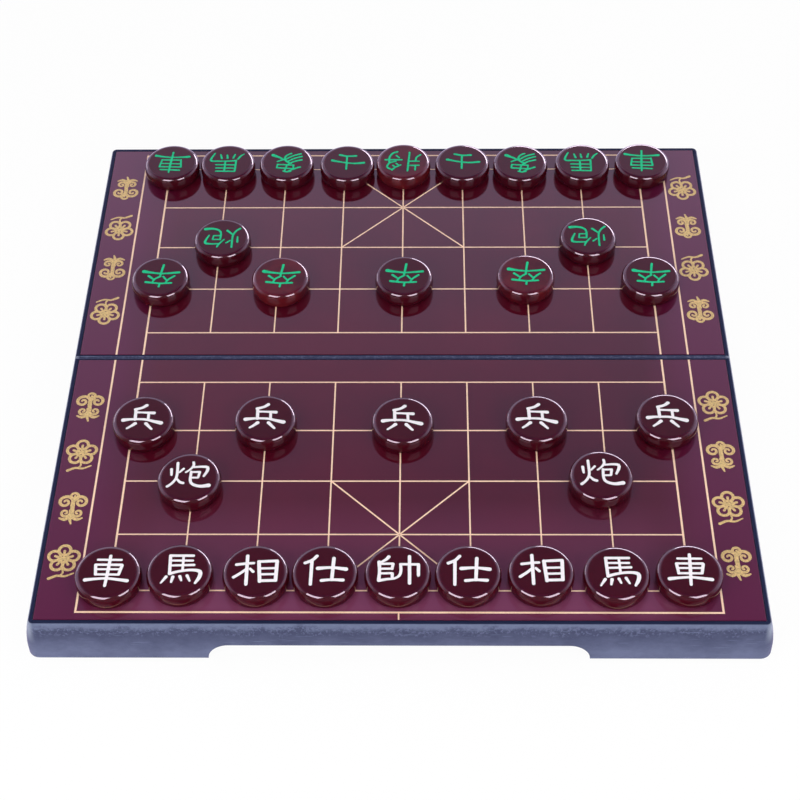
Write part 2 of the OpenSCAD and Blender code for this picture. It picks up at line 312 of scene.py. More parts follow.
def join(output, socket):
    output.id_data.links.new(output, socket)


def add_noise(where, size, detail=3.0, roughness=0.5, stretch=(1, 1, 1)):
    """Noise whose largest lumps are about size metres across."""
    nodes = where.id_data.nodes
    mapping = nodes.new("ShaderNodeMapping")
    mapping.inputs["Scale"].default_value = [s / size for s in stretch]
    noise = nodes.new("ShaderNodeTexNoise")
    noise.inputs["Scale"].default_value = 1
    noise.inputs["Detail"].default_value = detail
    noise.inputs["Roughness"].default_value = roughness
    join(where, mapping.inputs["Vector"])
    join(mapping.outputs["Vector"], noise.inputs["Vector"])
    return noise.outputs["Fac"]


def add_range(value, low, high, to_low=0.0, to_high=1.0):
    """Maps low..high of a value to to_low..to_high, and clamps it."""
    node = value.id_data.nodes.new("ShaderNodeMapRange")
    ends = {"From Min": low, "From Max": high, "To Min": to_low, "To Max": to_high}
    for socket, end in ends.items():
        node.inputs[socket].default_value = end
    join(value, node.inputs["Value"])
    return node.outputs["Result"]


def add_math(operation, first, second):
    """Works on a node's output and a second one, or a number."""
    node = first.id_data.nodes.new("ShaderNodeMath")
    node.operation = operation
    for socket, value in zip(node.inputs, (first, second)):
        if isinstance(value, (int, float)):
            socket.default_value = value
        else:
            join(value, socket)
    return node.outputs["Value"]


def both(first, second):
    return add_math("MULTIPLY", first, second)


def add_mix(amount, first, second):
    """Mixes two colours, each a colour or another node's output."""
    node = amount.id_data.nodes.new("ShaderNodeMix")
    node.data_type = "RGBA"
    join(amount, node.inputs["Factor"])
    for name, value in (("A", first), ("B", second)):
        socket = next(s for s in node.inputs if s.name == name and s.type == "RGBA")
        if isinstance(value, bpy.types.NodeSocket):
            join(value, socket)
        else:
            socket.default_value = (*value, 1)
    return next(s for s in node.outputs if s.type == "RGBA")


def add_bump(shader, height, depth, strength=1.0):
    """Bumps a shader by a height of 0 to 1 that stands for depth metres."""
    bump = height.id_data.nodes.new("ShaderNodeBump")
    bump.inputs["Distance"].default_value = depth
    bump.inputs["Strength"].default_value = strength
    join(height, bump.inputs["Height"])
    join(bump.outputs["Normal"], shader.inputs["Normal"])


def mix_shaders(amount, first, second):
    node = amount.id_data.nodes.new("ShaderNodeMixShader")
    for output, socket in zip((amount, first, second), node.inputs):
        join(output, socket)
    return node.outputs["Shader"]


def split(where):
    node = where.id_data.nodes.new("ShaderNodeSeparateXYZ")
    join(where, node.inputs["Vector"])
    return node.outputs


def vary_colour(shader, noise, first, second, low=0.35, high=0.65):
    """Takes the colour from first to second as a noise rises."""
    mixed = add_mix(add_range(noise, low, high), first, second)
    join(mixed, shader.inputs["Base Color"])


def vary_roughness(shader, noise, smooth, rough, low=0.3, high=0.7):
    """Takes the roughness from smooth to rough as a noise rises."""
    join(add_range(noise, low, high, smooth, rough), shader.inputs["Roughness"])


def shaded(colour, share):
    """A darker or a paler colour."""
    return [c * share for c in colour]


def slate_plastic(case):
    """Textured moulding, with painted light: a painted highlight on the upper edge and high on the side
    walls, lips painted dark as shade, paler painted light lower down, pale flecks in a dark band, and
    scratches.
    """
    material, shader, where = new_material(
        "slate_plastic", case.colour, 0.55, Specular_IOR_Level=0.12,
    )
    outer, _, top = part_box("near_case_shell")[1]
    grain = add_noise(where, 0.0011, 2.0, 0.6)
    cloud = add_noise(where, 0.02, 4.0, 0.6)
    mottle = add_noise(where, 0.0045, 5.0, 0.7, (0.6, 1, 1))
    fleck = add_noise(where, 0.0015, 3.0, 0.7)
    scratch = add_noise(where, 0.0006, 1.0, 0.4, (0.05, 1, 1))
    place = split(where)
    uneven = add_range(mottle, 0.3, 0.7, -0.0022, 0.0022)
    height = add_math("ADD", place["Z"], uneven)
    from_seam = add_math("ABSOLUTE", place["Y"], 0)
    from_middle = add_math("ABSOLUTE", place["X"], 0)

    def below_top(level, low, high, to_low=0.0, to_high=1.0):
        """A range between two depths under the top."""
        return add_range(level, top - low, top - high, to_low, to_high)

    # Painted light: the wall grows paler lower down, unevenly in broad clouds, where more light falls
    # on it. The spots are pale flecks in the dark band under the upper edge.
    painted_lower_light = both(below_top(height, 0.005, 0.018, 0.25), add_range(cloud, 0.3, 0.6, 0.65))
    spots = both(add_range(fleck, 0.47, 0.6), below_top(height, 0.009, 0.005, 0.1, 0.75))
    pale = add_math("MAXIMUM", painted_lower_light, spots)
    # Painted highlight: the upper edge of the wall is paler where its rounded shoulder catches the
    # light, except near the seam
    painted_edge_highlight = both(below_top(height, 0.0042, 0.0012, 0, 0.8), add_range(from_seam, 0.003, 0.005))
    # Painted highlight: the upper side walls at the left and right ends are paler, as if lit from the
    # sides
    side = both(
        add_range(from_middle, outer - 0.0055, outer - 0.003),
        below_top(place["Z"], 0.012, 0.004),
    )
    scored = add_range(scratch, 0.7, 0.74, 0, 0.7)
    # Painted shade: the flat lips round the panels are dark, standing for the shade in the gap beside
    # each panel
    lip_shade = both(below_top(place["Z"], 0.0003, 0.0001), add_range(from_seam, 0.0007, 0.0009))
    layers = case.colour
    for share, tone in (
        (pale, case.lit_and_fleck_colour), (painted_edge_highlight, case.scratch_and_highlight_colour), (side, case.side_highlight_colour),
        (scored, case.scratch_and_highlight_colour), (lip_shade, case.lip_shade_colour),
    ):
        layers = add_mix(share, layers, tone)
    join(layers, shader.inputs["Base Color"])
    vary_roughness(shader, mottle, 0.48, 0.62)
    add_bump(shader, grain, 0.0001, 0.5)
    return material


def printed_face(board):
    """Glossy purple print over dark red, with a painted reflection that reddens it along the front
    edge.
    """
    material, shader, where = new_material("printed_face", board.face_colour, 0.07)
    cloud = add_noise(where, 0.07, 4.0, 0.6)
    fine = add_noise(where, 0.0012, 2.0, 0.5)
    plain = add_mix(add_range(cloud, 0.35, 0.65), board.face_colour, board.face_deep)
    left, front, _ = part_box("near_board_panel")[0]
    place = split(where)
    # Painted reflection: a redder band along the front edge of the face, away from the side margins
    band = both(
        add_range(place["Y"], front, front + 0.006, 0.45),
        add_range(place["Y"], front + 0.065, front + 0.013),
    )
    aside = add_math("ABSOLUTE", place["X"], 0)
    glow = both(band, add_range(aside, -left - 0.015, -left - 0.05))
    margin = add_range(aside, -left - 0.04, -left - 0.018)
    tinted = add_mix(margin, plain, board.face_margin)
    join(add_mix(glow, tinted, board.face_front_reflection), shader.inputs["Base Color"])
    vary_roughness(shader, cloud, 0.05, 0.1)
    add_bump(shader, fine, 0.000004, 0.5)
    return material


def gold_ink(name, colour, deep):
    """Printed gold, with the slight mottle of metallic ink."""
    material, shader, where = new_material(
        name, colour, 0.4, Metallic=0.1, Specular_IOR_Level=0.2,
    )
    speckle = add_noise(where, 0.0008, 3.0, 0.7)
    vary_colour(shader, speckle, colour, deep)
    vary_roughness(shader, speckle, 0.35, 0.5)
    return material


def maroon_plastic(name, colour, deep, polish):
    """Polished moulding, with faint swirls in its colour and fine hairlines in its gloss."""
    material, shader, where = new_material(
        name, colour, 0.1, Subsurface_Weight=0.1, Subsurface_Scale=0.004, Specular_IOR_Level=polish,
    )
    vary_colour(shader, add_noise(where, 0.012, 4.0, 0.6), colour, deep)
    hair = add_noise(where, 0.0006, 2.0, 0.5, (1, 0.12, 1))
    vary_roughness(shader, hair, 0.05, 0.1, 0.45, 0.75)
    return material


def mark_paint(name, colour, thin):
    """Paint in a character's strokes, a little uneven."""
    material, shader, where = new_material(name, colour, 0.5, Specular_IOR_Level=0.2)
    uneven = add_noise(where, 0.002, 4.0, 0.6)
    vary_colour(shader, uneven, colour, thin, 0.5, 0.75)
    add_bump(shader, uneven, 0.00003, 0.5)
    return material


def groove_shade(colour):
    """Painted shade of the walls of a character's groove: a dark rim just outside its paint."""
    material, shader, where = new_material("groove_shade", colour, 0.4, Specular_IOR_Level=0.2)
    vary_colour(shader, add_noise(where, 0.001, 3.0, 0.6), colour, shaded(colour, 0.5))
    return material


def plain_steel(name, colour, roughness):
    """Drawn or rolled steel, streaked along X."""
    material, shader, where = new_material(name, colour, roughness, Metallic=1.0)
    streak = add_noise(where, 0.0008, 3.0, 0.6, (0.04, 1, 1))
    vary_colour(shader, streak, colour, shaded(colour, 0.8))
    vary_roughness(shader, streak, roughness - 0.06, roughness + 0.1)
    return material


def dark_rubber(colour):
    """Matt rubber with pale dust on it."""
    material, shader, where = new_material("dark_rubber", colour, 0.8)
    dust = add_noise(where, 0.003, 5.0, 0.7)
    vary_colour(shader, dust, colour, shaded(colour, 2.2), 0.5, 0.75)
    add_bump(shader, dust, 0.00005, 0.6)
    return material


def black_plastic(colour):
    material, shader, where = new_material("black_plastic", colour, 0.42)
    grain = add_noise(where, 0.0009, 3.0, 0.6)
    vary_roughness(shader, grain, 0.36, 0.5)
    add_bump(shader, grain, 0.00003, 0.5)
    return material


# Settings

def length(name, description, default):
    return FloatProperty(
        name=name, description=description, default=default, unit="LENGTH", subtype="DISTANCE",
    )


def angle(name, description, degrees):
    return FloatProperty(
        name=name, description=description, default=math.radians(degrees), subtype="ANGLE",
    )


def number(name, description, default):
    return FloatProperty(name=name, description=description, default=default)


def colour(name, description, default):
    return FloatVectorProperty(
        name=name, description=description, default=default, subtype="COLOR", min=0, max=1,
    )


class XiangqiStage(bpy.types.PropertyGroup):
    """The camera, the floor and the light."""

    camera_place: FloatVectorProperty(
        name="Camera place", description="Where the camera stands", unit="LENGTH",
        subtype="TRANSLATION", default=(0.01053, -0.54467, 0.62949),
    )
    elevation: angle("Elevation", "How far the camera looks down", 49.447)
    heading: angle("Heading", "The camera's turn to the right of straight ahead", -1.218)
    roll: angle("Roll", "The camera's turn about its own axis", -0.937)
    lens: number("Lens", "Focal length in millimetres", 75.26)
    floor_size: length("Floor size", "Width of the floor", 6.0)
    floor_glow: number("Floor glow", "Share of plain white that the camera sees in it", 0.95)
    room: colour("Room", "The even light of the room", (0.5, 0.49, 0.51))
    back_low: colour("Low backdrop", "What gloss shows low behind the board", (0.8, 0.68, 1.0))
    back_high: colour("High backdrop", "What gloss shows high up", (0.09, 0.06, 0.16))
    front: colour("Front", "What gloss shows in front of the board", (0.1, 0.1, 0.12))
    back_glow: number("Backdrop glow", "Strength of the backdrop in gloss", 2.1)
    gloss_tint: colour("Gloss tint", "Tint of the softboxes in gloss", (1.0, 0.82, 0.98))


class XiangqiCase(bpy.types.PropertyGroup):
    """The two halves of the case."""

    edge_radius: length("Edge radius", "Rounding of the moulding's edges", 0.00025)
    colour: colour("Colour", "Colour of the moulding", (0.028, 0.032, 0.07))
    # Colour of the painted light lower on the moulding, and of the flecks in its dark band
    lit_and_fleck_colour: colour("Pale colour", "Colour of the moulding lower down", (0.112, 0.126, 0.212))
    # Colour of the painted highlight on the upper edge, and of the scratches
    scratch_and_highlight_colour: colour("Rubbed colour", "Colour of the rubbed upper edge", (0.118, 0.139, 0.222))
    # Colour of the painted highlight high on the side walls
    side_highlight_colour: colour("Side edge", "Colour high on the side walls", (0.25, 0.28, 0.36))
    # Colour of the painted shade on the flat lips round the panels
    lip_shade_colour: colour("Lips", "Colour of the flat lips round the panels", (0.008, 0.013, 0.04))
    rubber_colour: colour("Rubber", "Colour of the feet", (0.03, 0.03, 0.034))
    steel_colour: colour("Steel", "Colour of the sheets and the hinge pins", (0.56, 0.57, 0.58))


class XiangqiBoard(bpy.types.PropertyGroup):
    """The printed board."""

    file_pitch: length("File pitch", "Distance between neighbouring files", 0.0315)
    rank_pitch: length("Rank pitch", "Distance between neighbouring ranks", 0.03)
    river: length("River", "Width of the river", 0.0325)
    frame_side: length("Frame at the sides", "From an outer file to the frame line", 0.0132)
    frame_end: length("Frame at the ends", "From an outer rank to the frame line", 0.0112)
    bold_line: length("Bold line", "Width of the frame and outer file lines", 0.0009)
    fine_line: length("Fine line", "Width of the other lines", 0.00068)
    ink_rise: length("Ink rise", "How far the ink stands above the face", 0.00003)
    ornament_height: length("Ornament height", "Height of a figure in the side margin", 0.019)
    face_colour: colour("Face", "Colour of the printed face", (0.066, 0.0025, 0.01))
    face_deep: colour("Deep face", "Deeper colour in the printed face", (0.048, 0.002, 0.008))
    # Colour of the painted reflection along the front edge
    face_front_reflection: colour("Front of the face", "Redder colour along the front edge", (0.145, 0.032, 0.075))
    face_margin: colour("Margin of the face", "Bluer colour in the side margins", (0.075, 0.006, 0.03))
    line_colour: colour("Lines", "Colour of the lines", (0.91, 0.65, 0.45))
    ornament_colour: colour("Ornaments", "Colour of the margin figures", (0.74, 0.53, 0.23))


class XiangqiMen(bpy.types.PropertyGroup):
    """The 32 men."""

    barrel_radius: length("Barrel radius", "Radius of the bulged side", 0.012)
    top_edge: length("Top edge", "Radius of the edge round the top", 0.0021)
    base_edge: length("Base edge", "Radius of the edge round the base", 0.0012)
    polish: number("Polish", "Specular level of the men", 0.22)
    edge_polish: number("Edge polish", "Specular level of the top edge", 0.6)
    cap_radius: length("Cap radius", "Radius of the cap in the base", 0.0105)
    cap_height: length("Cap height", "Thickness of the cap", 0.001)
    joint_gap: length("Joint gap", "Gap round the cap", 0.0001)
    steps: IntProperty(name="Steps", description="Facets round a man", default=96, min=24)
    colour: colour("Colour", "Colour of the men", (0.043, 0.0022, 0.0064))
    deep_colour: colour("Deep colour", "Deeper colour in the men", (0.037, 0.0018, 0.0054))
    warm_colour: colour("Warm colour", "Colour of the few redder men", (0.088, 0.006, 0.009))
    near_mark: colour("Near mark", "Paint of the near men's characters", (0.78, 0.755, 0.78))
    far_mark: colour("Far mark", "Paint of the far men's characters", (0.008, 0.52, 0.23))
    # Colour of the painted shade of the grooves beside the paint
    groove_shade_colour: colour("Groove", "Colour of the grooves beside the paint", (0.012, 0.002, 0.004))
    stroke_width: number("Stroke width", "Share of a stroke's full width", 0.93)
    # Width of the painted groove shade beside the paint
    groove_shade_rim: length("Groove rim", "How far a groove shows beside its paint", 0.0002)
    cap_colour: colour("Cap", "Colour of the caps", (0.012, 0.012, 0.013))


class XiangqiSettings(bpy.types.PropertyGroup):
    """Everything that a user would change."""

    stage: PointerProperty(name="Stage", description="Camera, floor and light", type=XiangqiStage)
    case: PointerProperty(name="Case", description="The two halves of the case", type=XiangqiCase)
    board: PointerProperty(name="Board", description="The printed board", type=XiangqiBoard)
    men: PointerProperty(name="Men", description="The 32 men", type=XiangqiMen)


# The stage

def add_lamp(name, place, size, energy, tint, in_gloss):
    """A softbox that faces the board, and is either seen in gloss or lights the colours."""
    lamp = bpy.data.lights.new(name, "AREA")
    lamp.shape = "RECTANGLE"
    lamp.size, lamp.size_y = size
    lamp.energy = energy
    lamp.color = tint
    holder = add_object(name, lamp)
    holder.location = place
    holder.rotation_euler = Vector(place).to_track_quat("Z", "Y").to_euler()
    holder.visible_camera = False
    holder.visible_diffuse = not in_gloss
    holder.visible_glossy = in_gloss
    return holder


def show_in_one(lamp, later):
    """Shows a softbox in gloss alone, or else in gloss that is itself seen in gloss."""
    lamp.use_nodes = True
    tree = lamp.node_tree
    bounces = tree.nodes.new("ShaderNodeLightPath").outputs["Ray Depth"]
    share = add_range(bounces, *BETWEEN_MIRRORS, 1 - later, later)
    join(share, tree.nodes["Emission"].inputs["Strength"])


class XIANGQI_OT_stage(bpy.types.Operator):
    """Make the camera, the floor, the light and the plain white surroundings"""

    bl_idname = "xiangqi.stage"
    bl_label = "Stage"

    def execute(self, context):
        stage = context.scene.xiangqi.stage
        scene = context.scene
        scene.view_settings.view_transform = "Standard"
        self.add_camera(scene, stage)
        self.add_floor(stage)
        self.add_world(scene, stage)
        self.add_gloss_lamps(stage.gloss_tint)
        for side, place, size, energy in (
            ("left", (-0.42, -0.63, 0.38), (0.56, 0.6), 4.1),
            ("right", (0.48, -0.63, 0.38), (0.5, 0.6), 3.7),
            ("back", (0.5, 1.4, 0.7), (0.9, 0.35), 5),
            ("top", (0, 0.1, 1.9), (1.6, 1.6), 6),
        ):
            add_lamp(f"{side}_fill", place, size, energy, (1, 1, 1), in_gloss=False)
        return {"FINISHED"}

    def add_gloss_lamps(self, tint):
        """The softboxes that gloss shows. They stand apart from the fill lamps, because
        lamps in one plane hide each other. The first five light the men alone."""
        lit = bpy.data.collections.new(EDGE_LIT)
        for side, place, size, energy, later in (
            ("left", (-0.36, -0.535, 0.56), (0.46, 0.5), 10.4, 0),
            ("right", (0.395, -0.515, 0.56), (0.41, 0.5), 9.3, 0),
            ("back", (0.52, 1.42, 0.72), (0.9, 0.35), 24, 0),
            ("left_side", (-1.3, 1.15, 0.45), (0.7, 0.4), 4, 0),
            ("right_side", (1.3, 1.15, 0.45), (0.7, 0.4), 4, 0),
            ("low_left", (-0.38, -0.57, 0.49), (0.5, 0.6), 9, 1),
            ("low_right", (0.42, -0.55, 0.49), (0.44, 0.6), 8, 1),
        ):
            holder = add_lamp(f"{side}_gloss", place, size, energy, tint, in_gloss=True)
            show_in_one(holder.data, later)
            if not later:
                holder.light_linking.receiver_collection = lit

    def add_camera(self, scene, stage):
        down, side = stage.elevation, stage.heading
        forward = Vector((
            math.sin(side) * math.cos(down), math.cos(side) * math.cos(down), -math.sin(down),
        ))
        right = forward.cross(Vector((0, 0, 1))).normalized()
        up = right.cross(forward)
        level, tilt = math.cos(stage.roll), math.sin(stage.roll)
        turned = Matrix((right * level + up * tilt, up * level - right * tilt, -forward)).transposed()
        camera = add_object("camera", bpy.data.cameras.new("camera"))
        camera.matrix_world = Matrix.Translation(stage.camera_place) @ turned.to_4x4()
        camera.data.lens = stage.lens
        camera.data.clip_start = 0.01
        scene.camera = camera

    def add_floor(self, stage):
        material, shader, _ = new_material("floor", (0.8, 0.8, 0.8), 0.9, Specular_IOR_Level=0)
        nodes = material.node_tree.nodes
        glow = nodes.new("ShaderNodeEmission").outputs["Emission"]
        seen = nodes.new("ShaderNodeLightPath").outputs["Is Camera Ray"]
        mixed = mix_shaders(both(seen, stage.floor_glow), shader.outputs["BSDF"], glow)
        join(mixed, nodes["Material Output"].inputs["Surface"])
        bm = bmesh.new()
        bmesh.ops.create_grid(bm, x_segments=1, y_segments=1, size=stage.floor_size / 2)
        floor = add_mesh(bm, "floor", material)
        floor.visible_glossy = False

    def add_world(self, scene, stage):
        world = bpy.data.worlds.new("room")
        scene.world = world
        world.use_nodes = True
        nodes = world.node_tree.nodes
        room = nodes["Background"]
        room.inputs["Color"].default_value = (*stage.room, 1)
        towards = split(nodes.new("ShaderNodeTexCoord").outputs["Generated"])
        back = add_mix(add_range(towards["Z"], 0.62, 0.86), stage.back_low, stage.back_high)
        behind = add_range(towards["Y"], -0.45, 0.1)
        mirrored_room = nodes.new("ShaderNodeBackground")
        mirrored_room.inputs["Strength"].default_value = stage.back_glow
        join(add_mix(behind, stage.front, back), mirrored_room.inputs["Color"])
        white = nodes.new("ShaderNodeBackground")
        white.inputs["Color"].default_value = (1, 1, 1, 1)
        ray = nodes.new("ShaderNodeLightPath").outputs
        seen = room.outputs[0]
        for kind, other in (("Is Glossy Ray", mirrored_room), ("Is Camera Ray", white)):
            seen = mix_shaders(ray[kind], seen, other.outputs[0])
        join(seen, nodes["World Output"].inputs["Surface"])


# The case

class XIANGQI_OT_case_shells(bpy.types.Operator):
    """Make the two moulded half cases, with softened edges"""

    bl_idname = "xiangqi.case_shells"
    bl_label = "Case shells"

    def execute(self, context):
        case = context.scene.xiangqi.case
        material = slate_plastic(case)
        for side in SIDES:
            node = f"{side}_case_shell"
            bm = bmesh.new()
            bm.from_mesh(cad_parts[node].data)
            bmesh.ops.remove_doubles(bm, verts=bm.verts, dist=0.02 * MM)
            bmesh.ops.dissolve_limit(
                bm, angle_limit=math.radians(0.4), verts=bm.verts, edges=bm.edges,
                use_dissolve_boundaries=False, delimit=set(),
            )
            shell = finish_mesh(
                bm, f"{side}_shell", material, f"{side}_half", smooth=30,
            )
            soften = shell.modifiers.new("soften", "BEVEL")
            soften.width = case.edge_radius
            soften.segments = 2
            soften.limit_method = "ANGLE"
            soften.angle_limit = math.radians(40)
            keep_flat(shell)
            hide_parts(node)
        return {"FINISHED"}


class XIANGQI_OT_hinge_and_sheets(bpy.types.Operator):
    """Give the hinge pins and the steel sheets their metal"""

    bl_idname = "xiangqi.hinge_and_sheets"
    bl_label = "Hinge pins and steel sheets"

    def execute(self, context):
        metal = context.scene.xiangqi.case.steel_colour
        rolled = plain_steel("rolled_steel", metal, 0.38)
        drawn = plain_steel("drawn_steel", metal, 0.25)
        for node, material in (
            ("near_steel_sheet", rolled), ("far_steel_sheet", rolled),
            ("right_hinge_pin", drawn), ("left_hinge_pin", drawn),
        ):
            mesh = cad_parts[node].data
            mesh.materials.clear()
            mesh.materials.append(material)
        return {"FINISHED"}


class XIANGQI_OT_rubber_feet(bpy.types.Operator):
    """Make the rubber feet, with their rounded pads and stems"""

    bl_idname = "xiangqi.rubber_feet"
    bl_label = "Rubber feet"

    def execute(self, context):
        material = dark_rubber(context.scene.xiangqi.case.rubber_colour)
        for side in SIDES:
            node = f"{side}_rubber_feet"
            bm = bmesh.new()
            for centre, pad, stem, rim, top in self.feet(node):
                edge, dimple = 0.4 * MM, 0.15 * MM
                profile = [(0, dimple), (pad * 0.45, dimple), (pad * 0.55, 0)]
                profile += arc((pad - edge, edge), edge, -90, 0, 4)
                profile += arc((pad - edge, rim - edge), edge, 0, 90, 4)
                profile += [(stem, rim), (stem, top - edge), (stem - edge, top), (0, top)]
                turn(bm, profile, centre, steps=40)
            feet = finish_mesh(bm, f"{side}_feet", material, f"{side}_half")
            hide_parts(node)
        return {"FINISHED"}

    def feet(self, node):
        """Each foot's centre, pad radius, stem radius, pad height and top, off its solid."""
        bm = bmesh.new()
        bm.from_mesh(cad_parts[node].data)
        bmesh.ops.remove_doubles(bm, verts=bm.verts, dist=1e-6)
        left = set(bm.verts)
        found = []
        while left:
            solid = [left.pop()]
            for vert in solid:
                near = {e.other_vert(vert) for e in vert.link_edges} & left
                left -= near
                solid += near
            top = max(v.co.z for v in solid)
            low = [v.co for v in solid if v.co.z < 1e-5]
            high = [v.co for v in solid if v.co.z > top - 1e-5]
            middle = sum(high, Vector()) / len(high)
            xs, ys, _ = zip(*low)
            centre = Vector(((min(xs) + max(xs)) / 2, (min(ys) + max(ys)) / 2, 0))
            pad = max(xs) - centre.x
            stem = max((c - middle).length for c in high)
            rim = max(v.co.z for v in solid if (v.co - centre).to_2d().length > stem * 1.2)
            found.append((centre, pad, stem, rim, top))
        bm.free()
        return found


# The board

class XIANGQI_OT_board_panels(bpy.types.Operator):
    """Make the two glossy printed panels"""

    bl_idname = "xiangqi.board_panels"
    bl_label = "Board panels"

    def execute(self, context):
        material = printed_face(context.scene.xiangqi.board)
        for side in SIDES:
            node = f"{side}_board_panel"
            bm = bmesh.new()
            add_block(bm, *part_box(node))
            bmesh.ops.bevel(
                bm, geom=bm.edges[:], offset=0.12 * MM, offset_type="OFFSET", affect="EDGES",
                segments=2, profile=0.5, material=-1, clamp_overlap=True,
            )
            panel = finish_mesh(bm, f"{side}_panel", material, f"{side}_half", smooth=50)
            keep_flat(panel)
            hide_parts(node)
        return {"FINISHED"}


def half_turn(side):
    """Puts a thing drawn for the near half on either half."""
    return Matrix.Rotation(math.pi if side == "far" else 0, 4, "Z")


def drawn_at(x, y, scale):
    """Puts a flat figure that was drawn in its own units on the board."""
    return Matrix.Translation((x, y, 0)) @ Matrix.Diagonal((scale, scale, 1, 1))


class XIANGQI_OT_board_lines(bpy.types.Operator):
    """Print the files, the ranks, the palaces and the frame"""

    bl_idname = "xiangqi.board_lines"
    bl_label = "Board lines"

    def execute(self, context):
        board = context.scene.xiangqi.board
        material = gold_ink("gold_line", board.line_colour, shaded(board.line_colour, 0.85))
        for side in SIDES:
            bm = bmesh.new()
            self.print_half(bm, board)
            bmesh.ops.transform(bm, matrix=half_turn(side), verts=bm.verts)
            finish_mesh(bm, f"{side}_board_lines", material, f"{side}_half", smooth=20)
        return {"FINISHED"}

    def print_half(self, bm, board):
        low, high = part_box("near_board_panel")
        face, seam, end = high.z, high.y, low.y
        outer_file = OUTER_FILE * board.file_pitch
        bank = -board.river / 2
        home = bank - (RANKS - 1) * board.rank_pitch
        frame_x = outer_file + board.frame_side
        frame_y = home - board.frame_end
        bold, fine = board.bold_line, board.fine_line
        self.face, self.rise = face, board.ink_rise
        for rank in range(RANKS):
            y = home + rank * board.rank_pitch
            self.print_line(bm, (-outer_file, y), (outer_file, y), fine, 0)
        for file in range(-OUTER_FILE, OUTER_FILE + 1):
            x = file * board.file_pitch
            reach, width = (seam, bold) if abs(file) == OUTER_FILE else (bank, fine)
            self.print_line(bm, (x, home - fine / 2), (x, reach), width, 1)
        for lean in (-1, 1):
            x = lean * board.file_pitch
            self.print_line(bm, (-x, home), (x, home + 2 * board.rank_pitch), fine, 2)
            side = lean * frame_x
            self.print_line(bm, (side, frame_y - bold / 2), (side, seam), bold, 1)
        self.print_line(bm, (-frame_x, frame_y), (frame_x, frame_y), bold, 0)
        self.print_line(bm, (0, frame_y), (0, end + 0.1 * MM), fine, 1)

    def print_line(self, bm, start, end, width, layer):
        """A line between two points of the face. Lines that cross lie in different layers."""
        start, end = Vector(start), Vector(end)
        long = (end - start).length
        top = self.face + self.rise * (1 + 0.3 * layer)
        verts = add_block(bm, (0, -width / 2, self.face - self.rise), (long, width / 2, top))
        angle = math.atan2(end.y - start.y, end.x - start.x)
        place = Matrix.Translation((*start, 0)) @ Matrix.Rotation(angle, 4, "Z")
        bmesh.ops.transform(bm, matrix=place, verts=verts)


def spiral(centre, start_radius, end_radius, start, turns, width, taper, steps=26):
    """Stroke points along a spiral, in millimetres and degrees."""
    x, y = centre
    points = []
    for t in (i / steps for i in range(steps + 1)):
        r = start_radius + (end_radius - start_radius) * t
        a = math.radians(start + 360 * turns * t)
        points.append((x + r * math.cos(a), y + r * math.sin(a), width + (taper - width) * t))
    return points


def mirrored(stroke):
    return [(-x, y, w) for x, y, w in stroke]


def cloud_scroll():
    """Strokes of a traditional cloud: two curls over a tail."""
    curl = spiral((3.1, 2.6), 3.4, 0.5, -150, -1.5, 1.6, 0.9)
    small = spiral((2.5, -2.8), 2.3, 0.4, 150, 1.3, 1.3, 0.8)
    crest = spiral((0, 5.6), 2.2, 0.4, -90, 1.3, 1.3, 0.8)
    tail = [(0, 1.2, 1.8), (0.2, -2.5, 1.6), (-0.3, -5.5, 1.4), (0.4, -8.2, 0.7)]
    wisp = [(0.4, -5.2, 1.1), (2.6, -6.2, 1.3), (4.6, -5.4, 0.7)]
    return [curl, mirrored(curl), small, mirrored(small), crest, tail, wisp, mirrored(wisp)]


def plum_blossom():
    """Strokes of a five-petalled blossom with its stamens, on a twig."""
    strokes = []
    heart = Vector((0, 1.6))
    for petal in range(5):
        angle = math.radians(90 + 72 * petal)
        out = Vector((math.cos(angle), math.sin(angle)))
        middle = heart + out * 3.9
        start = math.degrees(angle) + 180
        strokes.append(spiral(middle, 2.35, 2.35, start, 0.93, 1.25, 1.25, 18))
        strokes.append([(*(heart + out * 1.0), 0.7), (*(heart + out * 3.6), 1.1)])
    return strokes + [
        [(-0.4, 1.6, 1.7), (0.4, 1.6, 1.7)],
        [(-4.6, -8.0, 1.2), (-1.5, -6.6, 1.0), (1.5, -6.9, 0.9), (4.8, -5.4, 0.6)],
        [(-0.4, -6.7, 0.8), (0.6, -5.2, 0.8), (0.2, -3.6, 0.6)],
    ]


class XIANGQI_OT_margin_ornaments(bpy.types.Operator):
    """Print a row of clouds and blossoms in each side margin"""

    bl_idname = "xiangqi.margin_ornaments"
    bl_label = "Margin ornaments"

    DRAWN_HEIGHT = 17 * MM

    def execute(self, context):
        board = context.scene.xiangqi.board
        colour = board.ornament_colour
        material = gold_ink("gold_figure", colour, shaded(colour, 0.55))
        low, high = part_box("near_board_panel")
        middle = (high.x + OUTER_FILE * board.file_pitch + board.frame_side) / 2
        figures = (cloud_scroll(), plum_blossom())
        size = board.ornament_height / self.DRAWN_HEIGHT
        for side in SIDES:
            bm = bmesh.new()
            for lean in (-1, 1):
                for row in range(RANKS - 1):
                    y = -board.river / 2 - (row + 0.5) * board.rank_pitch
                    place = drawn_at(lean * middle, y, MM * size)
                    for i, stroke in enumerate(figures[(row + (lean > 0)) % 2]):
                        top = high.z + board.ink_rise * (1 + 0.1 * i)
                        lay_stroke(bm, stroke, place, high.z - board.ink_rise, top)
            bmesh.ops.transform(bm, matrix=half_turn(side), verts=bm.verts)
            bmesh.ops.recalc_face_normals(bm, faces=bm.faces)
            finish_mesh(bm, f"{side}_ornaments", material, f"{side}_half", smooth=20)
        return {"FINISHED"}


# The men

def each_man():
    """Each man's node, its side and its kind."""
    for node in sorted(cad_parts):
        side, _, name = node.partition("_")
        kind = name.split("_")[0]
        if kind in CHARACTERS:
            yield node, side, kind


def stand_of(node):
    """The centre of a man's base, its radius and its height."""
    low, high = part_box(node)
    centre = Vector(((low.x + high.x) / 2, (low.y + high.y) / 2, low.z))
    return centre, (high.x - low.x) / 2, high.z - low.z


